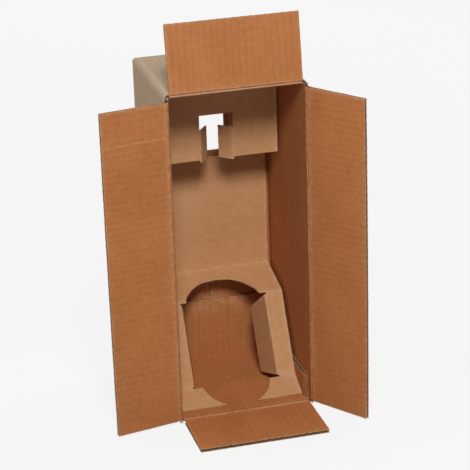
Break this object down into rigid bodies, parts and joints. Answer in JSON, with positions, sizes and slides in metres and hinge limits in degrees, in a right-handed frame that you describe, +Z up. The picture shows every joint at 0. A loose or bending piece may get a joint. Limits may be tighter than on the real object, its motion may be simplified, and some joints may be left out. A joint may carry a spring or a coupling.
{
  "type": "bottle shipping box",
  "caption": "Slotted corrugated carton standing with its front flaps open, and a folded board insert inside that cradles one leaning wine bottle.",
  "frame": {"origin": "centre of the carton's base, in the plane that it stands on", "axes": "+Z up along the carton's height, -Y out of its opening, +X to the right of someone who faces the opening"},
  "size_m": [0.2793, 0.238, 0.4649],
  "materials": {
    "carton_board": "uncoated kraft liner over a fluted core",
    "insert_board": "uncoated, smoother and paler kraft board"
  },
  "bodies": {
    "carton": {"carton_body": "carton_board", "bottle_insert": "insert_board"},
    "top_flap": {"top_flap": "carton_board"},
    "bottom_flap": {"bottom_flap": "carton_board"},
    "left_flap": {"left_flap": "carton_board"},
    "right_flap": {"right_flap": "carton_board"}
  },
  "joints": [
    {"name": "top_flap_fold", "type": "hinge", "parent": "carton", "child": "top_flap", "pos_m": [0, -0.08, 0.3875], "axis": [1, 0, 0], "range_deg": [-36, 189]},
    {"name": "bottom_flap_fold", "type": "hinge", "parent": "carton", "child": "bottom_flap", "pos_m": [0, -0.08, 0.0015], "axis": [-1, 0, 0], "range_deg": [0, 90]},
    {"name": "left_flap_fold", "type": "hinge", "parent": "carton", "child": "left_flap", "pos_m": [-0.0785, -0.0843, 0.1945], "axis": [0, 0, 1], "range_deg": [-56, 169]},
    {"name": "right_flap_fold", "type": "hinge", "parent": "carton", "child": "right_flap", "pos_m": [0.0785, -0.0843, 0.1945], "axis": [0, 0, -1], "range_deg": [-100.5, 124.5]}
  ]
}
